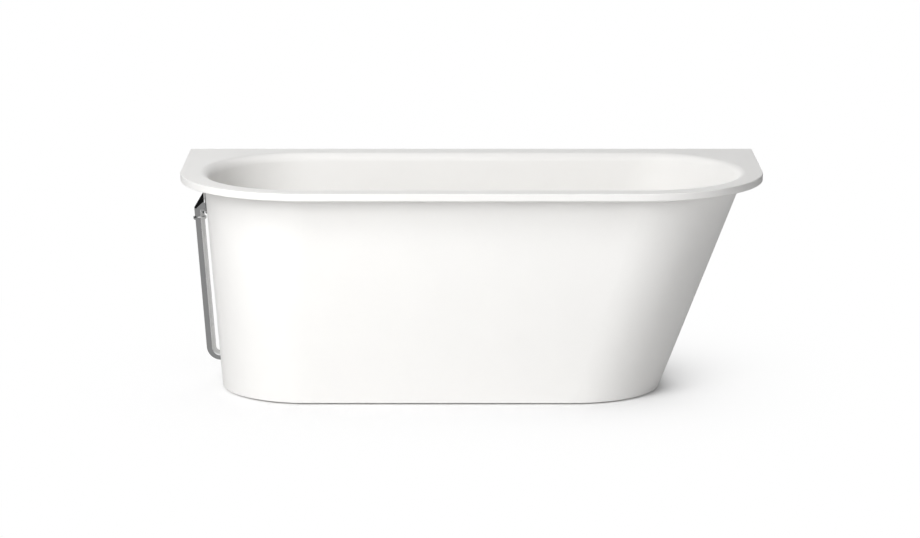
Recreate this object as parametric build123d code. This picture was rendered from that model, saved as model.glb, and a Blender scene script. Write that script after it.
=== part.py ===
from build123d import *
import math
import os

os.makedirs("parts", exist_ok=True)

# A back-to-wall bath. Its long axis is X, the wall is at +Y and up is +Z.
# The origin is on the floor under the middle of the deck. Every size is in millimetres.

# Deck and lip
deck_length = 1700
deck_width = 750
rim_height = 630
lip_thickness = 22
deck_corner_radius = 370
back_corner_round = 4
lip_edge_round = 2.5

# Side wall of the casting: the skirt outside and the basin inside
skirt_gap = 5
wall = 15
left_overhang = 67
right_overhang = 53
side_overhang = 63
left_inset = 51
right_inset = 245
side_inset = 12
skirt_top_corner = 300
skirt_foot_corner = 257
skirt_cove = 8
rim_roll = 26

# Basin floor and the drain's place in it
floor_height = 155
floor_fall = 0.01
floor_thickness = 16
basin_corner_radius = 80
under_cove = 10
drain_inset = 350
drain_hole_radius = 26
drain_seat_depth = 3.5
drain_seat_margin = 1.5
drain_pad_thickness = 15.5
drain_pad_radius = 44

# Feet
foot_left_inset = 290
foot_right_inset = 470
foot_row_width = 360
boss_radius = 22
boss_length = 44
insert_radius = 9
insert_length = 30
screw_radius = 6
screw_spare = 3
screw_tip_chamfer = 1
screw_head_flats = 17
screw_head_height = 8
screw_head_lift = 5
lock_nut_flats = 19
lock_nut_height = 9
sole_radius = 25
sole_thickness = 3
base_radius = 24
base_edge = 3
base_neck_radius = 11
base_height = 13
socket_depth = 9

# Overflow through the left end wall
overflow_drop = 91
overflow_hole_radius = 23
outer_seal_thickness = 1.5
outer_seal_margin = 1.5
inner_seal_thickness = 2
disc_radius = 36.5
disc_thickness = 4.5
disc_edge_round = 1.2
hub_radius = 20
hub_bore_radius = 16.5
hub_setback = 2
hub_bar_width = 9
hub_bar_thickness = 5
hood_radius = 31
leg_radius = 14.5
leg_bore_radius = 10.5
leg_height = 24
leg_slant = 14
spigot_length = 14
cover_radius = 33
cover_depth = 10
cover_thickness = 3
cover_round = 3
cover_hole_radius = 3.5
cover_hole_circle_radius = 22
cover_hole_count = 8
cover_screw_radius = 2.5
cover_screw_head_radius = 5
cover_screw_head_height = 2.5
cover_screw_slot_width = 1.2
cover_screw_slot_depth = 1

# Overflow pipe and its collar
pipe_radius = 14
pipe_wall = 1.2
pipe_bend_radius = 28
pipe_gap_top = 10.5
pipe_gap_low = 14.5
collar_drop = 48
collar_radius = 19.3
collar_height = 10
collar_round = 3.2
collar_seal_radius = 16
collar_seal_height = 2.4
sleeve_thickness = 2
sleeve_recess = 1

# Waste fitting in the basin floor
flange_radius = 36
flange_edge = 1.5
flange_rise = 2.5
flange_rim = 2
tube_radius = 23
tube_bore_radius = 20
dish_depth = 3.5
dish_skin = 1.8
upper_seal_thickness = 2
upper_seal_width = 4
lower_seal_thickness = 3
lower_seal_radius = 34
back_nut_flats = 62
back_nut_height = 9
tail_length = 10
spider_drop = 12
spider_height = 6
spider_arm = 4
spider_boss_radius = 11

# Siphon under the drain
inlet_seal_thickness = 2
neck_collar_radius = 26
neck_collar_height = 4
inlet_nut_flats = 60
inlet_nut_lip = 4
inlet_nut_grip = 8
siphon_height = 92
drum_radius = 56
drum_wall = 3
drum_round = 4
drum_top_drop = 11
drum_low_drop = 68
bowl_seal_drop = 55
bowl_seal_thickness = 2
bowl_thread_width = 3.5
bowl_radius = 54
bowl_gap = 1
bowl_notches = 12
bowl_notch_radius = 3
dip_drop = 79
branch_drop = 35.8
branch_radius = 17.5
branch_bore_radius = 13
branch_reach = 84
pipe_insertion = 16
union_nut_flats = 44
union_nut_cap = 3
union_nut_grip = 12
union_seal_thickness = 5
outlet_drop = 34
outlet_radius = 20
outlet_bore_radius = 17.5
outlet_stop = 80
outlet_stop_radius = 23
outlet_stop_width = 4
outlet_length = 40

# Push-to-open cartridge and plug
cartridge_radius = 8
cartridge_bore_radius = 6.2
cartridge_base = 2
cartridge_below = 32
cartridge_cap_radius = 10
cartridge_cap_height = 2.5
spring_length = 10
spring_radius = 5.2
spring_wire_radius = 0.5
spring_turns = 5
cam_radius = 6
cam_height = 8
stem_radius = 3.5
plug_radius = 31
plug_edge = 1.5
plug_dome = 3.5
plug_boss_radius = 8
plug_boss_length = 7.5
plug_boss_skin = 1.5
plug_seal_radius = 27
plug_lift = 1

# Nuts and hexagon heads
nut_corner_angle = 30
nut_face_share = 0.97

# Clearances
running_gap = 0.05
moving_gap = 0.3
match_margin = 0.01
overshoot = 5

# Places that follow from the sizes
skirt_rise = rim_height - skirt_gap
left_lean = math.atan(left_inset / skirt_rise)
right_lean = math.atan(right_inset / skirt_rise)
side_lean = math.atan(side_inset / skirt_rise)
drain_x = drain_inset - deck_length / 2
drain_seat = floor_height - drain_seat_depth
flange_base = drain_seat + upper_seal_thickness
flange_top = flange_base + flange_rise
drain_pad_bottom = drain_seat - drain_pad_thickness
lower_seal_bottom = drain_pad_bottom - lower_seal_thickness
back_nut_bottom = lower_seal_bottom - back_nut_height
tail_end = back_nut_bottom - tail_length
neck_top = tail_end - inlet_seal_thickness
branch_height = neck_top - branch_drop
outlet_height = neck_top - outlet_drop
branch_mouth = drain_x - branch_reach
overflow_height = rim_height - overflow_drop
collar_z = overflow_height - collar_drop
spider_top = flange_base - spider_drop
cartridge_bottom = spider_top - cartridge_below
spring_bottom = cartridge_bottom + cartridge_base
cam_bottom = spring_bottom + spring_length + moving_gap
plug_base = flange_top + plug_lift
boss_bottom = floor_height - floor_thickness - boss_length
foot_places = [
    (foot_left_inset - deck_length / 2, -foot_row_width / 2),
    (foot_left_inset - deck_length / 2, foot_row_width / 2),
    (deck_length / 2 - foot_right_inset, -foot_row_width / 2),
    (deck_length / 2 - foot_right_inset, foot_row_width / 2),
]


def rod(radius, low, high):
    """A round bar along Z between two heights."""
    middle = (low + high) / 2
    return Pos(0, 0, middle) * Cylinder(radius, high - low)


def ring(outer, inner, low, high):
    """A round tube along Z between two heights."""
    return rod(outer, low, high) - rod(inner, low - overshoot, high + overshoot)


def hexagon(flats, low, high):
    """A six-sided nut or head along Z, given by its width across flats, with its corners turned down."""
    outline = RegularPolygon(flats / 2, 6, major_radius=False)
    bar = extrude(Pos(0, 0, low) * outline, high - low)
    corner = flats / math.sqrt(3)
    face = nut_face_share * flats / 2
    fall = (corner - face) * math.tan(math.radians(nut_corner_angle))
    profile = Polyline(
        (0, low),
        (face, low),
        (corner, low + fall),
        (corner, high - fall),
        (face, high),
        (0, high),
        close=True,
    )
    return bar & revolve(Plane.XZ * make_face(profile), Axis.Z)


def along_x(shape):
    """Turns a shape made along Z so that it lies along +X at the height of the overflow branch."""
    return Pos(0, 0, branch_height) * Rot(0, 90, 0) * shape


def along_y(shape):
    """Turns a shape made along Z so that it lies along +Y from the drain, at the outlet's height."""
    return Pos(drain_x, 0, outlet_height) * Rot(-90, 0, 0) * shape


def at_drain(shape):
    """Moves a shape made round the origin to the drain."""
    return Pos(drain_x, 0, 0) * shape


# Casting


def skirt_outline(height, inset):
    """The side wall's outline at one height, drawn in by a distance square to the wall."""
    drop = (rim_height - height) / skirt_rise
    left = left_overhang - deck_length / 2 + left_inset * drop + inset / math.cos(left_lean)
    right = deck_length / 2 - right_overhang - right_inset * drop - inset / math.cos(right_lean)
    half = deck_width / 2 - side_overhang - side_inset * drop - inset / math.cos(side_lean)
    corner = skirt_top_corner + (skirt_foot_corner - skirt_top_corner) * drop - inset
    corner = min(corner, half - overshoot)
    return Pos((left + right) / 2, 0, height) * RectangleRounded(right - left, 2 * half, corner)


def side_wall(low, high, inset):
    """The solid inside the side wall's outline, from one height to another."""
    return loft([skirt_outline(low, inset), skirt_outline(high, inset)], ruled=True)


def left_wall_x(height):
    """Where the outside of the left end wall is at one height."""
    return left_overhang - deck_length / 2 + left_inset * (rim_height - height) / skirt_rise


def floor_plane(below):
    """The basin floor's plane, or one parallel to it some way below. It falls towards the drain."""
    return Plane(
        origin=(drain_x, 0, floor_height - below),
        x_dir=(1, 0, floor_fall),
        z_dir=(-floor_fall, 0, 1),
    )


def deck_plate():
    """The flat deck: straight at the back and the ends, with two large round front corners."""
    outline = Rectangle(deck_length, deck_width)
    corners = outline.vertices().sort_by(Axis.Y)
    outline = fillet(corners[:2], deck_corner_radius)
    corners = outline.vertices().sort_by(Axis.Y)
    outline = fillet(corners[-2:], back_corner_round)
    plate = extrude(Pos(0, 0, rim_height - lip_thickness) * outline, lip_thickness)
    faces = plate.faces().sort_by(Axis.Z)
    return fillet(faces[0].edges() + faces[-1].edges(), lip_edge_round)


def is_inside_deck(edge):
    """True for an edge that stays well away from the deck's own edge."""
    points = [edge @ 0, edge @ 0.5, edge @ 1]
    reach_x = deck_length / 2 - overshoot
    reach_y = deck_width / 2 - overshoot
    inside = [abs(point.X) < reach_x and abs(point.Y) < reach_y for point in points]
    corner_x = deck_length / 2 - deck_corner_radius
    corner_y = deck_corner_radius - deck_width / 2
    for point in points:
        past_x = abs(point.X) - corner_x
        past_y = corner_y - point.Y
        if past_x > 0 and past_y > 0:
            inside.append(math.hypot(past_x, past_y) < deck_corner_radius - overshoot)
    return all(inside)


def edges_at_height(body, height):
    """The edges that lie flat at one height, away from the deck's own edge."""
    flat = body.edges().filter_by_position(Axis.Z, height - match_margin, height + match_margin)
    return [edge for edge in flat if is_inside_deck(edge)]


def basin_void():
    """The space that holds the water, down to the sloping floor, with a round bottom corner."""
    void = side_wall(skirt_gap, rim_height + overshoot, wall)
    void = split(void, bisect_by=floor_plane(0), keep=Keep.TOP)
    bottom = void.faces().sort_by(Axis.Z)[0]
    return fillet(bottom.edges(), basin_corner_radius)


def under_void():
    """The open space under the basin floor, inside the skirt."""
    void = side_wall(skirt_gap - overshoot, floor_height + floor_thickness + overshoot, wall)
    void = split(void, bisect_by=floor_plane(floor_thickness), keep=Keep.BOTTOM)
    top = void.faces().sort_by(Axis.Z)[-1]
    return fillet(top.edges(), under_cove)


def foot_boss(place):
    """A cast boss under the floor that a levelling foot screws into."""
    top = floor_height + floor_fall * (place[0] - drain_x) - floor_thickness / 2
    return Pos(*place, 0) * rod(boss_radius, boss_bottom, top)


def tub_shell():
    """The casting: deck, skirt and basin in one piece, with its bosses and holes."""
    deck_underside = rim_height - lip_thickness
    body = deck_plate() + side_wall(skirt_gap, deck_underside + lip_thickness / 2, 0)
    body = fillet(edges_at_height(body, deck_underside), skirt_cove)
    body = body - basin_void()
    body = fillet(edges_at_height(body, rim_height), rim_roll)
    body = body - under_void()
    body = body + at_drain(rod(drain_pad_radius, drain_pad_bottom, floor_height - floor_thickness / 2))
    insert_hole = rod(insert_radius, boss_bottom - overshoot, boss_bottom + insert_length)
    for place in foot_places:
        body = body + foot_boss(place)
        body = body - Pos(*place, 0) * insert_hole
    seat = rod(flange_radius + drain_seat_margin, drain_seat, floor_height + overshoot)
    hole = rod(drain_hole_radius, drain_pad_bottom - overshoot, floor_height)
    body = body - at_drain(seat) - at_drain(hole)
    body = body - overflow_plane * rod(overflow_hole_radius, -wall - overshoot, overshoot)
    middle = left_wall_x(0)
    sleeve_hole = rod(pipe_radius + sleeve_thickness, middle - 4 * wall, middle + 4 * wall)
    return body - along_x(sleeve_hole)


# Feet


def foot_inserts():
    """The brass threaded inserts moulded into the bosses, as one group."""
    insert = ring(insert_radius, screw_radius + running_gap, boss_bottom, boss_bottom + insert_length)
    return Compound(children=[Pos(*place, 0) * insert for place in foot_places])


def foot_lock_nuts():
    """The nuts that lock the foot screws against the bosses, as one group."""
    nut = hexagon(lock_nut_flats, boss_bottom - lock_nut_height, boss_bottom)
    nut = nut - rod(screw_radius + running_gap, boss_bottom - lock_nut_height, boss_bottom)
    return Compound(children=[Pos(*place, 0) * nut for place in foot_places])


def foot_screw():
    """A plain-shanked stand-in for the threaded foot screw, with its spanner flats."""
    base_top = sole_thickness + base_height
    shank = rod(screw_radius, base_top - socket_depth, boss_bottom + insert_length - screw_spare)
    shank = chamfer(shank.edges().sort_by(Axis.Z)[-1], screw_tip_chamfer)
    head_low = base_top + screw_head_lift
    return shank + hexagon(screw_head_flats, head_low, head_low + screw_head_height)


def foot_base():
    """The moulded base that the screw turns in."""
    top = sole_thickness + base_height
    profile = Polyline(
        (0, sole_thickness),
        (base_radius, sole_thickness),
        (base_radius, sole_thickness + base_edge),
        (base_neck_radius, top),
        (0, top),
        close=True,
    )
    solid = revolve(Plane.XZ * make_face(profile), Axis.Z)
    return solid - rod(screw_radius + running_gap, top - socket_depth, top + overshoot)


def foot_sole():
    """The rubber sole under a foot's base."""
    return rod(sole_radius, 0, sole_thickness)


# Overflow

overflow_plane = Plane(
    origin=(left_wall_x(overflow_height), 0, overflow_height),
    x_dir=(0, -1, 0),
    z_dir=(-math.cos(left_lean), 0, -math.sin(left_lean)),
)
disc_low = outer_seal_thickness
disc_high = outer_seal_thickness + disc_thickness
cover_back = -wall - inner_seal_thickness
cover_front = cover_back - cover_depth
hub_end = hub_setback - wall

# The pipe's centre line: down beside the end wall, then level into the siphon's branch
pipe_top = Vector(left_wall_x(collar_z) - pipe_gap_top - pipe_radius, 0, collar_z)
pipe_corner = Vector(left_wall_x(branch_height) - pipe_gap_low - pipe_radius, 0, branch_height)
pipe_end = Vector(branch_mouth + pipe_insertion, 0, branch_height)
pipe_up = (pipe_top - pipe_corner).normalized()
pipe_out = Vector(-pipe_up.Z, 0, pipe_up.X)
joint_plane = Plane(origin=pipe_top, x_dir=pipe_out, z_dir=pipe_up)


def overflow_outer_seal():
    """The rubber washer between the elbow's flange and the outside of the end wall."""
    washer = overflow_plane * ring(
        disc_radius - outer_seal_margin, hub_radius + running_gap, -overshoot, disc_low
    )
    return washer - side_wall(skirt_gap, rim_height, 0)


def overflow_inner_seal():
    """The rubber washer between the cover and the inside of the end wall."""
    washer = overflow_plane * ring(cover_radius, overflow_hole_radius, cover_back, overshoot - wall)
    return washer & side_wall(skirt_gap, rim_height, wall)


def overflow_cover():
    """The round cover inside the basin, with holes that let water through."""
    cup = rod(cover_radius, cover_front, cover_back)
    cup = fillet(cup.edges().sort_by(Axis.Z)[0], cover_round)
    inside = cover_radius - cover_thickness
    cup = cup - rod(inside, cover_front + cover_thickness, cover_back + overshoot)
    holes = PolarLocations(cover_hole_circle_radius, cover_hole_count) * rod(
        cover_hole_radius, cover_front - overshoot, cover_back
    )
    cup = cup - holes - rod(cover_screw_radius + running_gap, cover_front - overshoot, cover_back)
    return overflow_plane * cup


def overflow_cover_screw():
    """The screw that draws the cover and the elbow together through the wall."""
    head_top = cover_front - cover_screw_head_height
    head = rod(cover_screw_head_radius, head_top, cover_front)
    head = fillet(head.edges().sort_by(Axis.Z)[0], cover_screw_head_height / 2)
    slot = Box(cover_screw_slot_width, 3 * cover_screw_head_radius, 2 * cover_screw_slot_depth)
    head = head - Pos(0, 0, head_top) * slot
    shank = rod(cover_screw_radius, cover_front, hub_end + hub_bar_thickness)
    return overflow_plane * (head + shank)


def mitre_plane():
    """The slanted plane where the elbow's hood meets its round leg."""
    slant = math.atan(leg_slant / (2 * leg_radius))
    centre = pipe_top + pipe_up * leg_height
    across = pipe_out * math.cos(slant) + pipe_up * math.sin(slant)
    down = pipe_out * math.sin(slant) - pipe_up * math.cos(slant)
    return Plane(origin=centre, x_dir=across, z_dir=down)


def hood_shape(foot_radius, mouth_radius):
    """A taper from a circle on the wall flange to an ellipse on the leg's slanted end."""
    slant = math.atan(leg_slant / (2 * leg_radius))
    foot = Rot(0, 0, 90) * Circle(foot_radius)
    mouth = Ellipse(mouth_radius / math.cos(slant), mouth_radius)
    return loft([overflow_plane.offset(disc_high) * foot, mitre_plane() * mouth], ruled=True)


def leg_shape(radius, low):
    """A round bar up the leg, cut off by the slanted plane."""
    bar = joint_plane * rod(radius, low, leg_height + leg_slant)
    return split(bar, bisect_by=mitre_plane(), keep=Keep.TOP)


def overflow_elbow():
    """The chromed elbow: wall flange, hood with a slanted back, leg and the spigot in the pipe."""
    disc = rod(disc_radius, disc_low, disc_high)
    disc = overflow_plane * fillet(disc.edges().group_by(Axis.Z)[-1], disc_edge_round)
    hub = overflow_plane * rod(hub_radius, hub_end, disc_high)
    spigot = joint_plane * rod(pipe_radius - pipe_wall - running_gap, -spigot_length, 1)
    elbow = disc + hub + hood_shape(hood_radius, leg_radius) + leg_shape(leg_radius, 0) + spigot
    bore = overflow_plane * rod(hub_bore_radius, hub_end - overshoot, disc_high)
    bore = bore + hood_shape(hub_bore_radius, leg_bore_radius)
    elbow = elbow - bore - leg_shape(leg_bore_radius, -spigot_length - overshoot)
    bar = Box(hub_radius + hub_bore_radius, hub_bar_width, hub_bar_thickness)
    bar = Pos(0, 0, hub_end + hub_bar_thickness / 2) * bar
    bar = bar - rod(cover_screw_radius, hub_end - overshoot, hub_end + 2 * overshoot)
    return elbow + overflow_plane * bar


def overflow_collar():
    """The round collar nut that holds the pipe on the elbow's leg."""
    half = collar_height / 2
    collar = rod(collar_radius, -half, half)
    collar = fillet(collar.edges(), collar_round)
    collar = collar - rod(leg_radius + running_gap, 0, half + overshoot)
    collar = collar - rod(pipe_radius + running_gap, -half - overshoot, overshoot)
    low = -half / 2 - collar_seal_height / 2
    groove = rod(collar_seal_radius, low, low + collar_seal_height)
    return joint_plane * (collar - groove)


def overflow_collar_seal():
    """The rubber ring in the collar's groove, round the pipe."""
    half = collar_height / 2
    low = -half / 2 - collar_seal_height / 2
    seal = ring(collar_seal_radius, pipe_radius + running_gap, low, low + collar_seal_height)
    return joint_plane * seal


def overflow_pipe():
    """The bent tube from the elbow down beside the wall and in to the siphon."""
    path = FilletPolyline(pipe_top, pipe_corner, pipe_end, radius=pipe_bend_radius)
    start = Plane(origin=pipe_top, x_dir=pipe_out, z_dir=-pipe_up)
    outside = sweep(start * Circle(pipe_radius), path)
    inside = sweep(start * Circle(pipe_radius - pipe_wall), path)
    return outside - inside


def pipe_sleeve():
    """The soft sleeve round the pipe in the skirt's hole."""
    outside = pipe_radius + sleeve_thickness
    low = left_wall_x(branch_height - outside) + sleeve_recess
    high = left_wall_x(branch_height + outside) + wall
    return along_x(ring(outside, pipe_radius + running_gap, low, high))


# Siphon


def siphon_housing():
    """The fixed upper part: neck, dip tube, drum, overflow branch and outlet spigot."""
    drum_top = neck_top - drum_top_drop
    drum_low = neck_top - drum_low_drop
    seat = neck_top - bowl_seal_drop
    body = rod(drum_radius, drum_low, drum_top)
    body = fillet(body.edges().sort_by(Axis.Z)[-1], drum_round)
    inside = drum_radius - drum_wall - bowl_thread_width
    body = body - rod(inside, drum_low - overshoot, drum_top - drum_wall)
    body = body - rod(drum_radius - bowl_thread_width, drum_low - overshoot, seat)
    body = body + rod(tube_radius, neck_top - dip_drop, neck_top)
    body = body + rod(neck_collar_radius, neck_top - neck_collar_height, neck_top)
    body = at_drain(body)
    body = body + along_x(rod(branch_radius, branch_mouth, drain_x))
    body = body + along_y(rod(outlet_radius, drum_radius - 2 * drum_wall, outlet_stop + outlet_length))
    body = body + along_y(rod(outlet_stop_radius, outlet_stop - outlet_stop_width, outlet_stop))
    body = body - at_drain(rod(tube_bore_radius, neck_top - dip_drop - overshoot, neck_top + overshoot))
    body = body - along_x(rod(branch_bore_radius, branch_mouth - overshoot, drain_x))
    pipe_end_x = branch_mouth + pipe_insertion
    body = body - along_x(rod(pipe_radius + running_gap, branch_mouth - overshoot, pipe_end_x))
    bore_start = tube_radius + 2 * overshoot
    bore_end = outlet_stop + outlet_length + overshoot
    return body - along_y(rod(outlet_bore_radius, bore_start, bore_end))


def siphon_bowl():
    """The lower bowl that holds the water seal and unscrews for cleaning."""
    bottom = neck_top - siphon_height
    top = neck_top - bowl_seal_drop - bowl_seal_thickness
    drum_low = neck_top - drum_low_drop
    thread_radius = drum_radius - bowl_thread_width - running_gap
    body = rod(bowl_radius, bottom, drum_low - bowl_gap)
    body = fillet(body.edges().sort_by(Axis.Z)[0], 2 * drum_wall)
    notch = rod(bowl_notch_radius, bottom - overshoot, drum_low - 2 * overshoot)
    body = body - PolarLocations(bowl_radius + bowl_notch_radius / 3, bowl_notches) * notch
    body = body + rod(thread_radius, drum_low - overshoot, top)
    return at_drain(body - rod(thread_radius - drum_wall, bottom + drum_wall, top + overshoot))


def siphon_bowl_seal():
    """The flat ring between the bowl and the housing."""
    seat = neck_top - bowl_seal_drop
    outer = drum_radius - bowl_thread_width - running_gap
    return at_drain(ring(outer, outer - drum_wall, seat - bowl_seal_thickness, seat))


def pipe_union_nut():
    """The nut that closes the branch onto the overflow pipe."""
    low = branch_mouth - union_seal_thickness - union_nut_cap
    high = branch_mouth + union_nut_grip
    nut = hexagon(union_nut_flats, low, high)
    nut = nut - rod(pipe_radius + moving_gap, low - overshoot, branch_mouth)
    nut = nut - rod(branch_radius + running_gap, low + union_nut_cap, high + overshoot)
    return along_x(nut)


def pipe_union_seal():
    """The rubber ring round the pipe, squeezed by the union nut."""
    low = branch_mouth - union_seal_thickness
    return along_x(ring(branch_radius, pipe_radius + running_gap, low, branch_mouth))


def inlet_nut():
    """The nut that hangs the siphon's neck on the waste tube."""
    low = neck_top - neck_collar_height - inlet_nut_lip
    high = tail_end + inlet_nut_grip
    nut = hexagon(inlet_nut_flats, low, high)
    nut = nut - rod(tube_radius + running_gap, low - overshoot, high + overshoot)
    nut = nut - rod(neck_collar_radius + running_gap, low + inlet_nut_lip, tail_end)
    return at_drain(nut)


def inlet_seal():
    """The flat ring between the waste tube and the siphon's neck."""
    return at_drain(ring(neck_collar_radius, tube_bore_radius, neck_top, tail_end))


# Waste fitting


def dish_height(radius):
    """The height of the dish's sloping top at one radius."""
    cone_radius = flange_radius - flange_rim
    return flange_top - dish_depth * (cone_radius - radius) / (cone_radius - tube_bore_radius)


def waste_flange():
    """The chromed dish and tube in the basin floor, with the arms that carry the cartridge."""
    rim_inside = flange_radius - upper_seal_width - flange_edge / 2
    profile = Polyline(
        (tube_bore_radius, tail_end),
        (tube_radius, tail_end),
        (tube_radius, dish_height(tube_radius) - dish_skin),
        (rim_inside, flange_base),
        (flange_radius, flange_base),
        (flange_radius, flange_base + flange_edge),
        (flange_radius - flange_rim, flange_top),
        (tube_bore_radius, dish_height(tube_bore_radius)),
        close=True,
    )
    body = revolve(Plane.XZ * make_face(profile), Axis.Z)
    arm = Pos(0, 0, spider_top - spider_height / 2) * Box(
        tube_radius + tube_bore_radius, spider_arm, spider_height
    )
    boss = rod(spider_boss_radius, spider_top - spider_height, spider_top)
    body = body + arm + Rot(0, 0, 90) * arm + boss
    return at_drain(body - rod(cartridge_radius, spider_top - spider_height, spider_top))


def waste_upper_seal():
    """The ring between the dish and the basin floor."""
    outside = flange_radius - flange_edge / 3
    return at_drain(ring(outside, outside - upper_seal_width, drain_seat, flange_base))


def waste_lower_seal():
    """The ring between the casting and the back nut."""
    inside = tube_radius + running_gap
    return at_drain(ring(lower_seal_radius, inside, lower_seal_bottom, drain_pad_bottom))


def waste_back_nut():
    """The large nut that clamps the waste fitting to the basin floor."""
    nut = hexagon(back_nut_flats, back_nut_bottom, lower_seal_bottom)
    return at_drain(nut - rod(tube_radius + running_gap, back_nut_bottom, lower_seal_bottom))


# Cartridge and plug


def cartridge_sleeve():
    """The fixed sleeve of the push-to-open cartridge, screwed into the strainer arms."""
    body = rod(cartridge_radius, cartridge_bottom, spider_top)
    body = body + hexagon(2 * cartridge_cap_radius, spider_top, spider_top + cartridge_cap_height)
    top = spider_top + cartridge_cap_height + overshoot
    return at_drain(body - rod(cartridge_bore_radius, spring_bottom, top))


def arc_from_tangent(start, corner, end):
    """The arc from start to end whose end tangents meet at corner."""
    middle = (start + end) * 0.5
    to_corner = corner - middle
    half_chord = (end - start).length / 2
    half_turn = math.atan(to_corner.length / half_chord)
    rise = half_chord * math.tan(half_turn / 2)
    return ThreePointArc(start, middle + to_corner.normalized() * rise, end)


def biarc(start, start_way, end, end_way):
    """Two arcs that join smoothly, between two points with given directions."""
    chord = end - start
    ways = start_way + end_way
    a = 2 * (1 - start_way.dot(end_way))
    b = 2 * chord.dot(ways)
    c = -chord.dot(chord)
    reach = (math.sqrt(b * b - 4 * a * c) - b) / (2 * a)
    first = start + start_way * reach
    second = end - end_way * reach
    joint = (first + second) * 0.5
    return [arc_from_tangent(start, first, joint), arc_from_tangent(joint, second, end)]


def helix_point(turn, pitch):
    """A point on the spring's centre line and its direction, counted in turns from the bottom."""
    angle = 2 * math.pi * turn
    low = spring_bottom + spring_wire_radius
    point = Vector(spring_radius * math.cos(angle), spring_radius * math.sin(angle), low + pitch * turn)
    run = 2 * math.pi * spring_radius
    way = Vector(-run * math.sin(angle), run * math.cos(angle), pitch)
    return point, way.normalized()


def cartridge_spring():
    """The coil spring that lifts the plug when the cartridge lets go."""
    pitch = (spring_length - 2 * spring_wire_radius) / spring_turns
    edges = []
    for quarter in range(4 * spring_turns):
        start, start_way = helix_point(quarter / 4, pitch)
        end, end_way = helix_point((quarter + 1) / 4, pitch)
        edges += biarc(start, start_way, end, end_way)
    path = Wire(edges)
    start, start_way = helix_point(0, pitch)
    section = Plane(origin=start, x_dir=(1, 0, 0), z_dir=start_way) * Circle(spring_wire_radius)
    steps = 40 * spring_turns
    points = [path @ (step / steps) for step in range(steps + 1)]
    pairs = [(i, j) for i in range(steps + 1) for j in range(i + 20, steps + 1)]
    gaps = [(points[i] - points[j]).length for i, j in pairs]
    print("spring's least gap to itself", round(min(gaps) - 2 * spring_wire_radius, 2))
    return at_drain(sweep(section, path))


def cartridge_cam():
    """The cam that latches the plug down or lets it up."""
    return at_drain(rod(cam_radius, cam_bottom, cam_bottom + cam_height))


def plug_stem():
    """The rod between the cam and the plug's cap."""
    return at_drain(rod(stem_radius, cam_bottom + cam_height, plug_base - plug_boss_skin))


def plug_cap():
    """The domed cap that closes the drain and is pressed to work it."""
    edge_top = plug_base + plug_edge
    outline = Line((0, plug_base), (plug_radius, plug_base))
    outline += Line((plug_radius, plug_base), (plug_radius, edge_top))
    dome_radius = (plug_radius**2 + plug_dome**2) / (2 * plug_dome)
    side = plug_radius / 2
    side_rise = math.sqrt(dome_radius**2 - side**2) - (dome_radius - plug_dome)
    top = edge_top + plug_dome
    outline += ThreePointArc((plug_radius, edge_top), (side, edge_top + side_rise), (0, top))
    outline += Line((0, top), (0, plug_base))
    cap = revolve(Plane.XZ * make_face(outline), Axis.Z)
    boss = rod(plug_boss_radius, plug_base - plug_boss_length, plug_base)
    socket = rod(stem_radius, plug_base - plug_boss_length - overshoot, plug_base - plug_boss_skin)
    return at_drain(cap + boss - socket)


def plug_seal():
    """The rubber washer under the cap, just off the dish's slope."""
    low = dish_height(plug_seal_radius) + moving_gap
    return at_drain(ring(plug_seal_radius, plug_boss_radius + running_gap, low, plug_base))


parts = {
    "tub_shell": tub_shell(),
    "foot_inserts": foot_inserts(),
    "foot_lock_nuts": foot_lock_nuts(),
    "overflow_cover": overflow_cover(),
    "overflow_cover_screw": overflow_cover_screw(),
    "overflow_inner_seal": overflow_inner_seal(),
    "overflow_outer_seal": overflow_outer_seal(),
    "overflow_elbow": overflow_elbow(),
    "overflow_collar": overflow_collar(),
    "overflow_collar_seal": overflow_collar_seal(),
    "overflow_pipe": overflow_pipe(),
    "pipe_sleeve": pipe_sleeve(),
    "pipe_union_nut": pipe_union_nut(),
    "pipe_union_seal": pipe_union_seal(),
    "siphon_housing": siphon_housing(),
    "siphon_bowl": siphon_bowl(),
    "siphon_bowl_seal": siphon_bowl_seal(),
    "siphon_inlet_nut": inlet_nut(),
    "siphon_inlet_seal": inlet_seal(),
    "waste_flange": waste_flange(),
    "waste_upper_seal": waste_upper_seal(),
    "waste_lower_seal": waste_lower_seal(),
    "waste_back_nut": waste_back_nut(),
    "cartridge_sleeve": cartridge_sleeve(),
    "cartridge_spring": cartridge_spring(),
    "cartridge_cam": cartridge_cam(),
    "plug_stem": plug_stem(),
    "plug_cap": plug_cap(),
    "plug_seal": plug_seal(),
}
for number, place in enumerate(foot_places, start=1):
    parts[f"foot_screw_{number}"] = Pos(*place, 0) * foot_screw()
    parts[f"foot_base_{number}"] = Pos(*place, 0) * foot_base()
    parts[f"foot_sole_{number}"] = Pos(*place, 0) * foot_sole()

for name, shape in parts.items():
    export_step(shape, f"parts/{name}.step")
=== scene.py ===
import math

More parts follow.
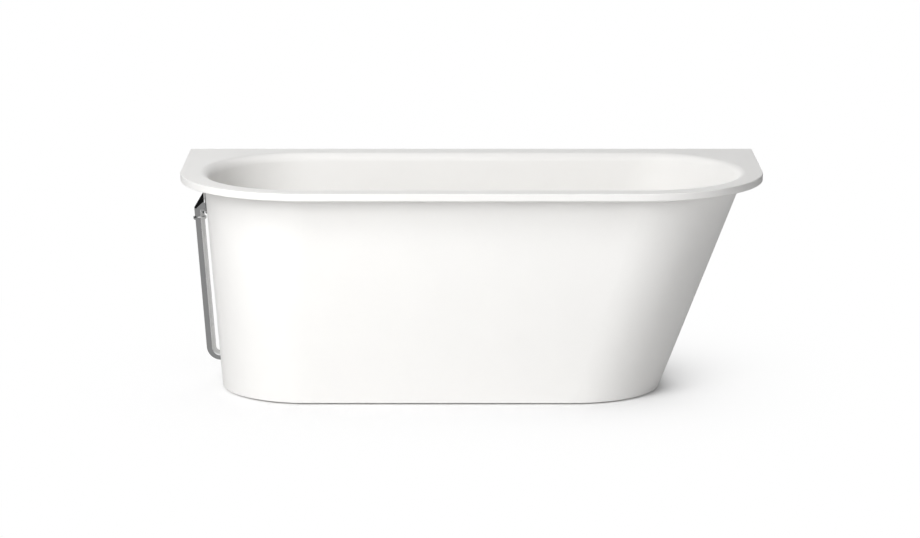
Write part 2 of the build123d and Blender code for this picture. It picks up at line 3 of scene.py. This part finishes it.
import bpy
import numpy as np
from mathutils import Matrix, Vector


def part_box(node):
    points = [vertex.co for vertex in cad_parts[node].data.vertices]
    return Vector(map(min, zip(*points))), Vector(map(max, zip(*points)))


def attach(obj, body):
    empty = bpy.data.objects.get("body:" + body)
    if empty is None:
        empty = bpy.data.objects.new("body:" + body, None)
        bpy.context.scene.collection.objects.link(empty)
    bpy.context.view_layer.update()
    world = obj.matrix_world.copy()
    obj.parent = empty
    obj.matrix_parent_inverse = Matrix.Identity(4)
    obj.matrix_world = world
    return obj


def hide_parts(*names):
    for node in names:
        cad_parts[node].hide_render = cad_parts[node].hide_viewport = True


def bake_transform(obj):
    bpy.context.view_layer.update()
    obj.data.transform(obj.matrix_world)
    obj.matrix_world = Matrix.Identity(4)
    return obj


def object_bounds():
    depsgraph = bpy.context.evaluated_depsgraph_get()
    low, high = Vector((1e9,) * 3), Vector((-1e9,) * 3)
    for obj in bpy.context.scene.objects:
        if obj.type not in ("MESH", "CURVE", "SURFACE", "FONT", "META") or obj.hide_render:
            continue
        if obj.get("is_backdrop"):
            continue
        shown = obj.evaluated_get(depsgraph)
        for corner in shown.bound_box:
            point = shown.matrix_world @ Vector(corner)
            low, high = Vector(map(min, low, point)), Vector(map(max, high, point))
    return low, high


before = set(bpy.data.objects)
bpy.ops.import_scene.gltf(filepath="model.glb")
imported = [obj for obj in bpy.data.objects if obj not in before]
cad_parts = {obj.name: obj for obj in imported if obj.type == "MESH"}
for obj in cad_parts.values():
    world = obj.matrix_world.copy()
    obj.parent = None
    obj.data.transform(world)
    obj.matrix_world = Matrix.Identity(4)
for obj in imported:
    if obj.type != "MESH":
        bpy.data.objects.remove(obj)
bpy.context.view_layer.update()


# The casting: deck, lip, basin and skirt in one piece of stone resin, ground stone in resin. It is
# cast in a mould over a white gel coat, then sanded and buffed to a satin shine. The space under
# the basin stays as it leaves the mould: bare resin and stone dust, duller and sandy to the touch.

def linear(colour):
    """An sRGB hex colour as the linear RGBA that a shader takes."""
    parts = np.array([int(colour[i:i + 2], 16) for i in (1, 3, 5)]) / 255
    parts = np.where(parts <= 0.04045, parts / 12.92, ((parts + 0.055) / 1.055) ** 2.4)
    return (*parts, 1.0)


def add(material, kind, sockets=None, **settings):
    """Adds a node to a material, sets its properties, and sets its sockets or links them."""
    made = material.node_tree.nodes.new(kind)
    for name, value in settings.items():
        setattr(made, name, value)
    for name, value in (sockets or {}).items():
        if isinstance(value, bpy.types.NodeSocket):
            material.node_tree.links.new(value, made.inputs[name])
        else:
            made.inputs[name].default_value = value
    return made


def new_finish(name):
    """A material with nothing in its node tree yet, and its coordinates on the object in metres."""
    material = bpy.data.materials.new(name)
    material.use_nodes = True
    material.node_tree.nodes.clear()
    return material, add(material, "ShaderNodeTexCoord")


def surface(material, sockets):
    """Ends a material in one principled surface."""
    shader = add(material, "ShaderNodeBsdfPrincipled", sockets)
    add(material, "ShaderNodeOutputMaterial", {"Surface": shader.outputs["BSDF"]})
    return material


def dress(names, material):
    """Gives a finish to the solids of the frame that keep their own shape."""
    for name in names:
        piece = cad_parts[name]
        piece.data.materials.clear()
        piece.data.materials.append(material)


down_slope = -0.6
basin_floor_height = 0.2
skirt_foot_height = 0.13


def moulded_raw_side(material, place):
    """1 on the faces that nobody sees: under the floor, and inside the skirt's foot. 0 elsewhere."""
    way = add(material, "ShaderNodeSeparateXYZ", {0: place.outputs["Normal"]})
    spot = add(material, "ShaderNodeSeparateXYZ", {0: place.outputs["Object"]})
    down = add(material, "ShaderNodeMath", {0: way.outputs["Z"], 1: down_slope}, operation="LESS_THAN")
    low = add(material, "ShaderNodeMath", {
        0: spot.outputs["Z"], 1: basin_floor_height}, operation="LESS_THAN")
    under = add(material, "ShaderNodeMath", {0: down.outputs[0], 1: low.outputs[0]}, operation="MULTIPLY")
    level = add(material, "ShaderNodeVectorMath", {
        0: place.outputs["Normal"], 1: (1, 1, 0)}, operation="MULTIPLY")
    facing = add(material, "ShaderNodeVectorMath", {
        0: level.outputs[0], 1: place.outputs["Object"]}, operation="DOT_PRODUCT")
    inward = add(material, "ShaderNodeMath", {0: facing.outputs["Value"], 1: 0.0}, operation="LESS_THAN")
    foot = add(material, "ShaderNodeMath", {
        0: spot.outputs["Z"], 1: skirt_foot_height}, operation="LESS_THAN")
    inside = add(material, "ShaderNodeMath", {
        0: inward.outputs[0], 1: foot.outputs[0]}, operation="MULTIPLY")
    both = add(material, "ShaderNodeMath", {
        0: under.outputs[0], 1: inside.outputs[0]}, operation="MAXIMUM")
    return both.outputs[0]


# most of a noise lies between these two of its values
noise_dim, noise_bright = 0.3, 0.7


def gel_coated_stone_resin():
    """Buffed gel coat over cast stone resin: a warm white that clouds very faintly, satin, with a
    long slow unevenness from hand sanding. The raw side is greyer, dull and sandy."""
    material, place = new_finish("gel_coated_stone_resin")
    raw = moulded_raw_side(material, place)
    # sizes in millimetres: sanding leaves waves about 90 mm long and some hundredths of a
    # millimetre high, and the stone dust is about 0.3 mm, drawn at 3 mm so that it shows
    noise = {use: add(material, "ShaderNodeTexNoise", {
        "Vector": place.outputs["Object"], "Scale": 1000 / size, "Detail": detail}).outputs["Fac"]
        for use, size, detail in (("clouds", 140, 3.0), ("dust", 3, 4.0), ("satin", 60, 2.0),
                                  ("waves", 90, 1.0), ("grit", 2.5, 3.0))}
    coat = add(material, "ShaderNodeMix", {
        0: noise["clouds"], 6: linear("#F1F0EE"), 7: linear("#F4F3F1")}, data_type="RGBA")
    dust = add(material, "ShaderNodeMix", {
        0: noise["dust"], 6: linear("#CFCBC3"), 7: linear("#DEDBD4")}, data_type="RGBA")
    colour = add(material, "ShaderNodeMix", {
        0: raw, 6: coat.outputs[2], 7: dust.outputs[2]}, data_type="RGBA")
    satin = add(material, "ShaderNodeMapRange", {
        "Value": noise["satin"], "From Min": noise_dim, "From Max": noise_bright,
        "To Min": 0.33, "To Max": 0.40})
    rough = add(material, "ShaderNodeMix", {
        0: raw, 2: satin.outputs["Result"], 3: 0.78}, data_type="FLOAT")
    # the grit of the raw side is four times as high as the waves
    grit = add(material, "ShaderNodeMath", {0: noise["grit"], 1: raw}, operation="MULTIPLY")
    height = add(material, "ShaderNodeMath", {
        0: grit.outputs[0], 1: 4.0, 2: noise["waves"]}, operation="MULTIPLY_ADD")
    relief = add(material, "ShaderNodeBump", {
        "Height": height.outputs[0], "Distance": 0.06 / 1000, "Strength": 1.0})
    return surface(material, {
        "Base Color": colour.outputs[2], "Roughness": rough.outputs[0], "IOR": 1.5,
        "Normal": relief.outputs["Normal"],
    })


dress(["tub_shell"], gel_coated_stone_resin())


# The overflow outside the end wall: a hooded elbow on a round flange, a ring nut, and a bent tube
# down to the skirt. Brass, polished and chromed. The drain's flange and the plug's cap match it.

def mottling(material, place, colours, patches, roughness, clouds, grain=None):
    """Sockets for a surface whose colour drifts between two hex colours in soft random patches, and
    whose roughness drifts between two values in clouds. Patches and clouds are each a size in
    millimetres and a noise detail. A grain bumps the surface, and has its depth as well."""
    sizes = [patches, clouds] + ([grain[:2]] if grain else [])
    noise = [add(material, "ShaderNodeTexNoise", {
        "Vector": place.outputs["Object"], "Scale": 1000 / size, "Detail": detail}).outputs["Fac"]
        for size, detail in sizes]
    colour = add(material, "ShaderNodeMix", {
        0: noise[0], 6: linear(colours[0]), 7: linear(colours[1])}, data_type="RGBA")
    rough = add(material, "ShaderNodeMapRange", {
        "Value": noise[1], "From Min": noise_dim, "From Max": noise_bright,
        "To Min": roughness[0], "To Max": roughness[1]})
    sockets = {"Base Color": colour.outputs[2], "Roughness": rough.outputs["Result"]}
    if grain:
        bump = add(material, "ShaderNodeBump", {
            "Height": noise[2], "Distance": grain[2] / 1000, "Strength": 1.0})
        sockets["Normal"] = bump.outputs["Normal"]
    return sockets


def chromed_brass():
    """Bright chrome plate over polished brass: a mirror with a cool cast, and a faint haze where it
    has been wiped. The plate's own waves are too shallow to see, so it has no bump."""
    material, place = new_finish("chromed_brass")
    mottled = mottling(material, place, ("#DADBDC", "#E2E2E2"), (30, 2.0), (0.04, 0.09), (12, 3.0))
    return surface(material, {"Metallic": 1.0, **mottled})


chromed = ["overflow_elbow", "overflow_collar", "overflow_pipe", "overflow_cover", "waste_flange"]
dress([*chromed, "plug_cap"], chromed_brass())


# Flat rings that seal the overflow, the drain, the siphon and the plug, and the soles under the
# feet. EPDM rubber, punched or moulded, and pressed between the parts that they seal.

def moulded_epdm():
    """Black EPDM rubber: matt, with a bloom of grey and the fine grain of a sand-blasted mould."""
    material, place = new_finish("moulded_epdm")
    # the grain is about 0.1 mm, drawn at 0.8 mm so that it shows
    mottled = mottling(material, place, ("#1B1B1C", "#2B2B2C"), (9, 3.0), (0.52, 0.7), (0.8, 3.0),
                       grain=(0.8, 3.0, 0.03))
    return surface(material, {"IOR": 1.52, **mottled})


seals = [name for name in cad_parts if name.endswith("_seal")]
soles = [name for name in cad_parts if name.startswith("foot_sole")]
dress(seals + soles, moulded_epdm())


# The sleeve that the pipe passes through in the skirt's hole. Soft white nitrile rubber, moulded,
# and pushed in by hand.

def white_nitrile():
    """White nitrile rubber: slightly yellow, matt, a little cloudy."""
    material, place = new_finish("white_nitrile")
    mottled = mottling(material, place, ("#DFDDD5", "#E9E8E2"), (8, 2.0), (0.5, 0.64), (2, 3.0),
                       grain=(0.9, 2.0, 0.02))
    return surface(material, {"IOR": 1.52, **mottled})


dress(["pipe_sleeve"], white_nitrile())


# Brass inside the works: the drain's back nut, the sleeve and stem of the push-to-open plug, and
# the threaded inserts that are cast into the foot bosses. Turned on a lathe and left bare.

def turned_brass():
    """Bare turned brass: yellow, gone browner in patches, with fine rings left by the tool."""
    material, place = new_finish("turned_brass")
    mottled = mottling(material, place, ("#B48F4E", "#CFAE6B"), (14, 3.0), (0.2, 0.36), (5, 3.0))
    # the tool leaves rings 0.2 mm apart, drawn 5 mm apart so that they show, where a wave of scale
    # 1 goes through 20 radians a metre
    rings = add(material, "ShaderNodeTexWave", {
        "Vector": place.outputs["Object"], "Scale": 2 * math.pi / (20 * 0.00503), "Distortion": 0.4,
        "Detail": 1.0,
    }, wave_type="BANDS", bands_direction="Z")
    relief = add(material, "ShaderNodeBump", {
        "Height": rings.outputs["Fac"], "Distance": 0.01 / 1000, "Strength": 1.0})
    return surface(material, {"Metallic": 1.0, **mottled, "Normal": relief.outputs["Normal"]})


dress(["waste_back_nut", "cartridge_sleeve", "plug_stem", "foot_inserts"], turned_brass())


# Steel fasteners: the cover's screw, the lock nuts and the foot screws. Cold headed, rolled or
# tapped, then zinc plated and passivated.

def zinc_plated_steel():
    """Zinc plate with a clear passivation: silver with a blue or yellow cast in patches, satin."""
    material, place = new_finish("zinc_plated_steel")
    mottled = mottling(material, place, ("#AEB4BB", "#C6C6BE"), (7, 3.0), (0.26, 0.44), (2.5, 3.0),
                       grain=(1.2, 3.0, 0.012))
    return surface(material, {"Metallic": 1.0, **mottled})


zinc = zinc_plated_steel()
dress(["overflow_cover_screw", "foot_lock_nuts"], zinc)


def closed_piece(name, grid, material):
    """A closed piece from a grid of points, rows by columns: the columns go round and meet, and
    each end row is closed to a point at its middle."""
    rows, columns = grid.shape[:2]
    points = np.concatenate([grid.reshape(-1, 3), grid[:1].mean(1), grid[-1:].mean(1)])
    row, column = np.meshgrid(np.arange(rows - 1), np.arange(columns), indexing="ij")
    after = (column + 1) % columns
    quads = np.stack([row * columns + column, row * columns + after,
                      (row + 1) * columns + after, (row + 1) * columns + column], axis=-1)
    column, after = np.arange(columns), (np.arange(columns) + 1) % columns
    first = np.stack([np.full(columns, rows * columns), after, column], axis=-1)
    top = (rows - 1) * columns
    last = np.stack([np.full(columns, rows * columns + 1), top + column, top + after], axis=-1)
    faces = quads.reshape(-1, 4).tolist() + first.tolist() + last.tolist()
    mesh = bpy.data.meshes.new(name)
    mesh.from_pydata(points.tolist(), [], faces)
    mesh.shade_smooth()
    mesh.materials.append(material)
    piece = bpy.data.objects.new(name, mesh)
    bpy.context.scene.collection.objects.link(piece)
    return piece


shank_radius = 0.00595
thread_pitch = 0.00175
thread_depth = 0.001
tip_chamfer = 0.001
head_flats = 0.01695
head_height = 0.008
head_low = 0.014
head_chamfer = math.radians(30)
# the flat round on each end of the head, as a share of the width over its flats
head_round = 0.97
# rows of points up the head, as shares of its height: close together where its corners round off
head_rows = np.array([0, 0.04, 0.1, 0.16, 0.3, 0.7, 0.84, 0.9, 0.96, 1])
rows_per_thread = 7
steps_round_screw = 48
# two rows this far apart make a step in the outline
step_height = 1e-5


def screw_outline(height, angle, length):
    """The radius of a foot screw at a height above its lower end and an angle round it: plain in the
    base's socket, the distance to a hexagon's side over the head, rounded off at the corners, and
    above the head a triangle wave whose phase is the height over the pitch less the turn."""
    head_top = head_low + head_height
    core = np.full(np.broadcast(height, angle).shape, shank_radius)
    side = (angle + math.pi / 6) % (math.pi / 3) - math.pi / 6
    fall = np.minimum(height - head_low, head_top - height) / math.tan(head_chamfer)
    corner = np.clip(head_round * head_flats / 2 + np.maximum(fall, 0), 0, head_flats / math.sqrt(3))
    head = np.minimum(head_flats / 2 / np.cos(side), corner)
    phase = (height / thread_pitch - angle / (2 * math.pi)) % 1
    fade = np.clip((height - head_top) / (2 * thread_pitch), 0, 1)
    thread = shank_radius - fade * thread_depth * np.abs(2 * phase - 1)
    tip = np.clip((length - height) / tip_chamfer, 0, 1)
    thread = np.minimum(thread, shank_radius - tip_chamfer * (1 - tip))
    over = (height >= head_low) & (height <= head_top)
    return np.where(over, head, np.where(height > head_top, thread, core))


for number in (1, 2, 3, 4):
    node = f"foot_screw_{number}"
    low, high = np.array(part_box(node))
    length = high[2] - low[2]
    shank_low = head_low + head_height
    shank_rows = int((length - shank_low) / thread_pitch * rows_per_thread)
    height = np.concatenate([
        [0, head_low - step_height], head_low + head_height * head_rows,
        np.linspace(shank_low + step_height, length, shank_rows)])[:, None]
    angle = np.linspace(0, 2 * math.pi, steps_round_screw, endpoint=False)[None]
    radius = screw_outline(height, angle, length)
    middle = (low + high) / 2
    grid = np.stack([middle[0] + radius * np.cos(angle), middle[1] + radius * np.sin(angle),
                     low[2] + height + 0 * angle], axis=-1)
    screw = closed_piece(f"foot_thread_{number}", grid, zinc)
    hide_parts(node)
    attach(screw, f"foot_{number}")


# The spring in the push-to-open cartridge: stainless wire, coiled with a close turn at each end.
# Its foot stays in the sleeve and its head goes up with the cam; here it is one coil at rest.

def drawn_stainless_wire():
    """Drawn stainless spring wire: grey and smooth, with a dry lubricant's dull patches."""
    material, place = new_finish("drawn_stainless_wire")
    mottled = mottling(material, place, ("#9C9C9A", "#B7B7B5"), (3, 2.0), (0.22, 0.42), (1, 3.0))
    return surface(material, {"Metallic": 1.0, **mottled})


wire_radius = 0.0005
spring_turns = 7
steps_per_turn = 24
steps_round_wire = 10

low, high = np.array(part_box("cartridge_spring"))
coil_radius = (high[0] - low[0]) / 2 - wire_radius
turn = np.linspace(0, spring_turns, spring_turns * steps_per_turn + 1)
# the pitch is one wire over the end turns, and the turns between share the rest evenly
rise = high[2] - low[2] - 2 * wire_radius
climb = np.interp(turn, [0, 1, spring_turns - 1, spring_turns],
                  [0, 2 * wire_radius, rise - 2 * wire_radius, rise])
around = 2 * math.pi * turn
out = np.stack([np.cos(around), np.sin(around), 0 * around], axis=-1)
centre = np.array([(low[0] + high[0]) / 2, (low[1] + high[1]) / 2, low[2] + wire_radius])
line = centre + coil_radius * out + np.stack([0 * climb, 0 * climb, climb], axis=-1)
along = np.gradient(line, axis=0)
along /= np.linalg.norm(along, axis=-1, keepdims=True)
across = np.cross(along, out)
ring = np.linspace(0, 2 * math.pi, steps_round_wire, endpoint=False)[None, :, None]
wire = line[:, None] + wire_radius * (np.cos(ring) * out[:, None] - np.sin(ring) * across[:, None])
coil = closed_piece("cartridge_coil", wire, drawn_stainless_wire())
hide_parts("cartridge_spring")
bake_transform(coil)


# The siphon under the drain, with the bowl that comes off for cleaning. Injection moulded grey
# polypropylene.

def moulded_grey_polypropylene():
    """Grey polypropylene: waxy, semi-matt, with the fine spark-eroded grain of its mould."""
    material, place = new_finish("moulded_grey_polypropylene")
    # the grain is about 0.1 mm, drawn at 1 mm so that it shows
    mottled = mottling(material, place, ("#85888C", "#93969A"), (25, 3.0), (0.4, 0.54), (1, 3.0),
                       grain=(1, 3.0, 0.03))
    return surface(material, {"IOR": 1.49, **mottled})


dress(["siphon_housing", "siphon_bowl"], moulded_grey_polypropylene())


# The white mouldings: the two hand nuts of the siphon, the cam of the plug's cartridge, and the
# bases of the feet. Polypropylene, left as it leaves the mould.

def moulded_white_polypropylene():
    """White polypropylene: a little yellow beside the resin, waxy, finely grained."""
    material, place = new_finish("moulded_white_polypropylene")
    # this grain too is drawn ten times as coarse as it is
    mottled = mottling(material, place, ("#E2E0D9", "#EBEAE5"), (18, 3.0), (0.38, 0.5), (1, 3.0),
                       grain=(1, 3.0, 0.02))
    return surface(material, {"IOR": 1.49, **mottled})


bases = [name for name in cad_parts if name.startswith("foot_base")]
dress(["siphon_inlet_nut", "pipe_union_nut", "cartridge_cam", *bases], moulded_white_polypropylene())


# The room: a plain white floor that keeps the bath's shadow and turns pure white away from it,
# and white air behind. Reflections see the air too, past the flags that are hung after the lamps.

floor_reach = 30
floor_mesh = bpy.data.meshes.new("studio_floor")
floor_mesh.from_pydata(
    [(-floor_reach, -floor_reach, 0), (floor_reach, -floor_reach, 0),
     (floor_reach, floor_reach, 0), (-floor_reach, floor_reach, 0)], [], [(0, 1, 2, 3)])
floor = bpy.data.objects.new("studio_floor", floor_mesh)
bpy.context.scene.collection.objects.link(floor)
floor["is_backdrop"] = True


def seen_directly(material):
    """1 for the rays that show a background: camera, glossy and transmission rays. 0 for the rest."""
    path = add(material, "ShaderNodeLightPath")
    seen = add(material, "ShaderNodeMath", {
        0: path.outputs["Is Camera Ray"], 1: path.outputs["Is Glossy Ray"]}, operation="MAXIMUM")
    seen = add(material, "ShaderNodeMath", {
        0: seen.outputs[0], 1: path.outputs["Is Transmission Ray"]}, operation="MAXIMUM")
    return seen.outputs[0]


floor_glow = 0.12
skirt_middle = (-0.065, 0.0, 0.0)
skirt_half = (0.615, 0.33)
skirt_corner = 0.257
shadow_fade = 0.11

# The shadow is kept by e to the power of minus the distance to the skirt's foot, over a fade. The
# foot is a rounded rectangle, so the distance is measured from its straight sides, less its corner.
paper, place = new_finish("white_paper_floor")
straight = (skirt_half[0] - skirt_corner, skirt_half[1] - skirt_corner, 0.0)
aside = add(paper, "ShaderNodeVectorMath", {
    0: place.outputs["Object"], 1: skirt_middle}, operation="SUBTRACT")
aside = add(paper, "ShaderNodeVectorMath", {0: aside.outputs[0]}, operation="ABSOLUTE")
aside = add(paper, "ShaderNodeVectorMath", {0: aside.outputs[0], 1: straight}, operation="SUBTRACT")
aside = add(paper, "ShaderNodeVectorMath", {0: aside.outputs[0], 1: (0, 0, 0)}, operation="MAXIMUM")
away = add(paper, "ShaderNodeVectorMath", {0: aside.outputs[0]}, operation="LENGTH")
away = add(paper, "ShaderNodeMath", {0: away.outputs["Value"], 1: skirt_corner}, operation="SUBTRACT")
away = add(paper, "ShaderNodeMath", {0: away.outputs[0], 1: 0.0}, operation="MAXIMUM")
away = add(paper, "ShaderNodeMath", {0: away.outputs[0], 1: -1 / shadow_fade}, operation="MULTIPLY")
shaded = add(paper, "ShaderNodeMath", {0: away.outputs[0]}, operation="EXPONENT")
matt = add(paper, "ShaderNodeBsdfDiffuse", {"Color": linear("#E8E8E8")})
glow = add(paper, "ShaderNodeEmission", {"Color": (1, 1, 1, 1), "Strength": floor_glow})
near = add(paper, "ShaderNodeAddShader", {0: matt.outputs[0], 1: glow.outputs[0]})
white = add(paper, "ShaderNodeEmission", {"Color": (1, 1, 1, 1), "Strength": 1.0})
shown = add(paper, "ShaderNodeMixShader", {0: shaded.outputs[0], 1: white.outputs[0], 2: near.outputs[0]})
either = add(paper, "ShaderNodeMixShader", {
    0: seen_directly(paper), 1: matt.outputs[0], 2: shown.outputs[0]})
add(paper, "ShaderNodeOutputMaterial", {"Surface": either.outputs[0]})
floor_mesh.materials.append(paper)

even_light = 0.10

air = bpy.data.worlds.new("studio_air")
bpy.context.scene.world = air
air.use_nodes = True
air.node_tree.nodes.clear()
dim = add(air, "ShaderNodeBackground", {"Color": (1, 1, 1, 1), "Strength": even_light})
white = add(air, "ShaderNodeBackground", {"Color": (1, 1, 1, 1), "Strength": 1.0})
either = add(air, "ShaderNodeMixShader", {0: seen_directly(air), 1: dim.outputs[0], 2: white.outputs[0]})
add(air, "ShaderNodeOutputWorld", {"Surface": either.outputs[0]})


# The lamps: two strong soft boxes on the left in front, one above the other, a weak low one on the
# right in front, a low one behind on the left, and a high one behind. They aim at the middle of
# the bath, and its right end is left in the shade.

aim = np.array([0.0, 0.0, 0.35])
lamp_distance = 6.0
lamp_side = 2.4


def soft_box(name, turn, height, power):
    """A square lamp turned to the aim, that neither the camera nor a reflection sees. Turn is in
    degrees from the front, positive to the right, and height in degrees above the aim's level."""
    turn, height = math.radians(turn), math.radians(height)
    way = (math.sin(turn) * math.cos(height), -math.cos(turn) * math.cos(height), math.sin(height))
    light = bpy.data.lights.new(name, "AREA")
    light.size = lamp_side
    light.energy = power
    holder = bpy.data.objects.new(name, light)
    holder.location = aim + lamp_distance * np.array(way)
    holder.rotation_euler = (math.radians(90) - height, 0, turn)
    holder.visible_camera = False
    holder.visible_glossy = False
    bpy.context.scene.collection.objects.link(holder)


soft_box("key_soft_box", -30, 26, 166)
soft_box("high_soft_box", -38, 50, 150)
soft_box("front_soft_box", 30, 12, 48)
soft_box("left_back_soft_box", -135, 12, 90)
soft_box("high_back_soft_box", 170, 45, 90)


# Flags that only reflections see, hung as a photographer hangs them so that chrome shows its shape:
# grey paper over the floor, and black cloth on the left, behind the bath, and high up behind it.

paper_grey = 0.32
cloth_black = 0.01
over_floor = 0.0005
side = 5.0
low_top = 0.5
cloth_top = 5.0
near_back = 3.0
far_back = 6.0


def flag(name, corners, level):
    """A plain panel of one grey that only reflections see."""
    mesh = bpy.data.meshes.new(name)
    mesh.from_pydata(corners, [], [(0, 1, 2, 3)])
    grey, _ = new_finish(name)
    glow = add(grey, "ShaderNodeEmission", {"Color": (1, 1, 1, 1), "Strength": level})
    add(grey, "ShaderNodeOutputMaterial", {"Surface": glow.outputs[0]})
    mesh.materials.append(grey)
    panel = bpy.data.objects.new(name, mesh)
    panel.visible_camera = False
    panel.visible_diffuse = False
    panel.visible_shadow = False
    bpy.context.scene.collection.objects.link(panel)
    panel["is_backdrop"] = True


def upright(left, right, low, high):
    """The corners of an upright panel from one point on the floor plan to another, between two
    heights."""
    return [(*left, low), (*right, low), (*right, high), (*left, high)]


flag("grey_floor_flag", [(-side, -9, over_floor), (side, -9, over_floor),
                         (side, 5, over_floor), (-side, 5, over_floor)], paper_grey)
flag("black_back_flag", upright((-12, far_back), (12, far_back), 2.6, 12), cloth_black)
flag("black_low_flag", upright((-side, near_back), (side, near_back), 0, low_top), cloth_black)
flag("black_corner_flag", upright((-side, near_back), (-1.4, near_back), low_top, cloth_top),
     cloth_black)
flag("black_left_flag", upright((-side, -6), (-side, near_back), 0, cloth_top), cloth_black)


# The camera, where the photographer stood: a long lens on a 36 mm frame, almost 10 m in front of
# the middle of the bath and 1.8 m above its rim, tilted down by about 12 degrees.

camera = bpy.data.objects.new("camera", bpy.data.cameras.new("camera"))
camera.data.sensor_width = 36
camera.data.lens = 133.72
camera.data.clip_end = 200
camera.location = (-0.0339, -9.8388, 2.393)
camera.rotation_euler = (math.radians(90 - 11.81), 0, 0)
bpy.context.scene.collection.objects.link(camera)
bpy.context.scene.camera = camera
bpy.context.scene.view_settings.view_transform = "Standard"

low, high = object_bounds()
